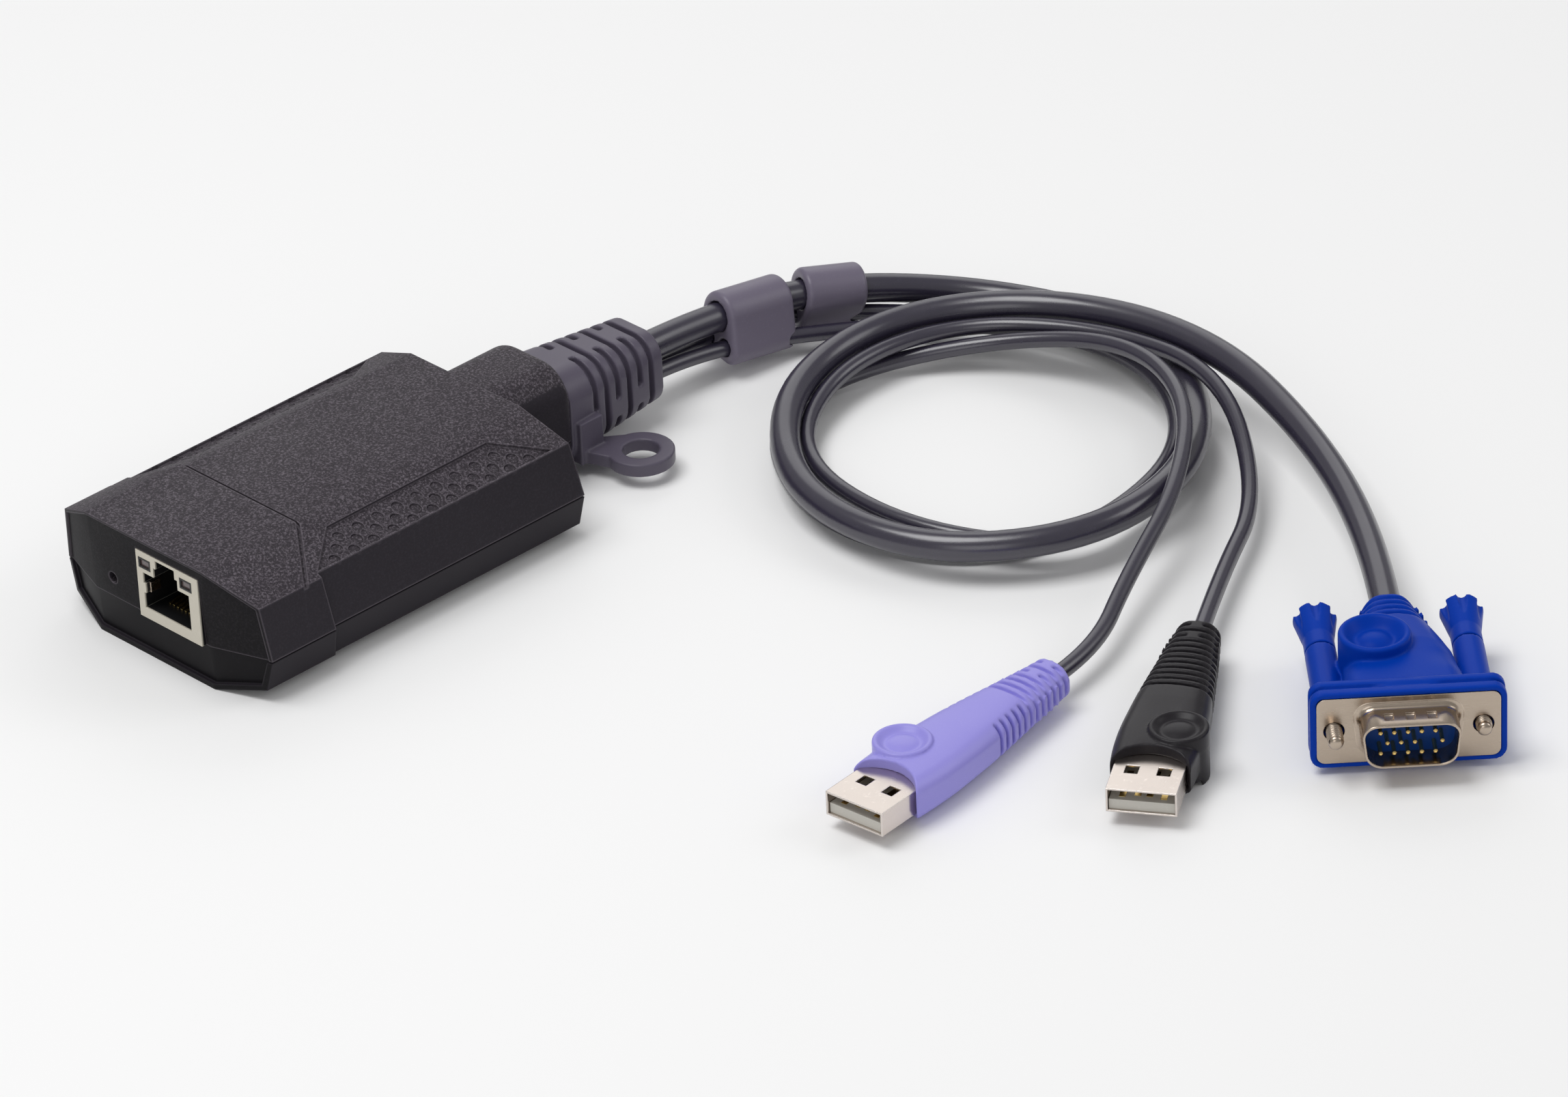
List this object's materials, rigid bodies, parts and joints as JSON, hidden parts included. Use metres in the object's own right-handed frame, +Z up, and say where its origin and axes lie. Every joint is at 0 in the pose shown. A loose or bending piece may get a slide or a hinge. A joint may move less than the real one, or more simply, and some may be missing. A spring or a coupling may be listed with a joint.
{
  "type": "kvm dongle",
  "caption": "Small two-shell network adapter box with a jack and reset hole, a moulded strain relief with a hanging ring, and cords to a video plug and two USB plugs.",
  "frame": {"origin": "bottom centre of the housing with its strain relief, cords and plugs left out", "axes": "+X from the network jack to the strain relief, +Y to the far side of the housing, +Z up"},
  "size_m": [0.1933, 0.2222, 0.0242],
  "materials": {
    "cover_plastic": "fine grained charcoal moulding",
    "relief_rubber": "smooth dark grey moulding",
    "cord_jacket": "satin dark blue grey jacket",
    "board_laminate": "green solder mask",
    "chip_plastic": "black mould compound",
    "can_steel": "drawn can",
    "jack_plastic": "cream moulding",
    "led_lens": "unlit smoky lens",
    "contact_gold": "gold plated",
    "switch_plastic": "black moulding",
    "screw_steel": "zinc plated",
    "nickel_shell": "bright nickel plated steel",
    "purple_plastic": "satin violet moulding",
    "black_plug_plastic": "satin black moulding",
    "blue_plastic": "satin blue moulding",
    "tongue_plastic": "pale moulding"
  },
  "bodies": {
    "housing": {"top_cover": "cover_plastic", "bottom_cover": "cover_plastic", "cover_screws": "screw_steel", "main_board": "board_laminate", "processor_chip": "chip_plastic", "memory_chip": "chip_plastic", "crystal_can": "can_steel", "jack_body": "jack_plastic", "jack_shield": "nickel_shell", "jack_contacts": "contact_gold", "jack_led_left": "led_lens", "jack_led_right": "led_lens", "reset_switch": "switch_plastic", "strain_relief": "relief_rubber", "vga_cord": "cord_jacket", "purple_usb_cord": "cord_jacket", "black_usb_cord": "cord_jacket", "cord_clip_near": "relief_rubber", "cord_clip_far": "relief_rubber", "purple_plug_grip": "purple_plastic", "purple_plug_shell": "nickel_shell", "purple_plug_tongue": "tongue_plastic", "purple_plug_contacts": "contact_gold", "black_plug_grip": "black_plug_plastic", "black_plug_shell": "nickel_shell", "black_plug_tongue": "tongue_plastic", "black_plug_contacts": "contact_gold", "vga_plug_hood": "blue_plastic", "vga_plug_shell": "nickel_shell", "vga_plug_insulator": "blue_plastic", "vga_plug_pins": "contact_gold"},
    "reset_plunger": {"reset_plunger": "switch_plastic"},
    "thumbscrew_left": {"thumbscrew_left_knob": "blue_plastic", "thumbscrew_left_rod": "nickel_shell"},
    "thumbscrew_right": {"thumbscrew_right_knob": "blue_plastic", "thumbscrew_right_rod": "nickel_shell"}
  },
  "joints": [
    {"name": "reset_press", "type": "slide", "parent": "housing", "child": "reset_plunger", "axis": [1, 0, 0], "range_m": [0, 0.00025], "stiffness_N_per_m": 1500},
    {"name": "thumbscrew_left_turn", "type": "hinge", "parent": "housing", "child": "thumbscrew_left", "pos_m": [0.06761, -0.15754, 0.0085], "axis": [-0.6727, -0.7399, 0], "continuous": true},
    {"name": "thumbscrew_right_turn", "type": "hinge", "parent": "housing", "child": "thumbscrew_right", "pos_m": [0.08611, -0.17436, 0.0085], "axis": [-0.6727, -0.7399, 0], "continuous": true}
  ]
}
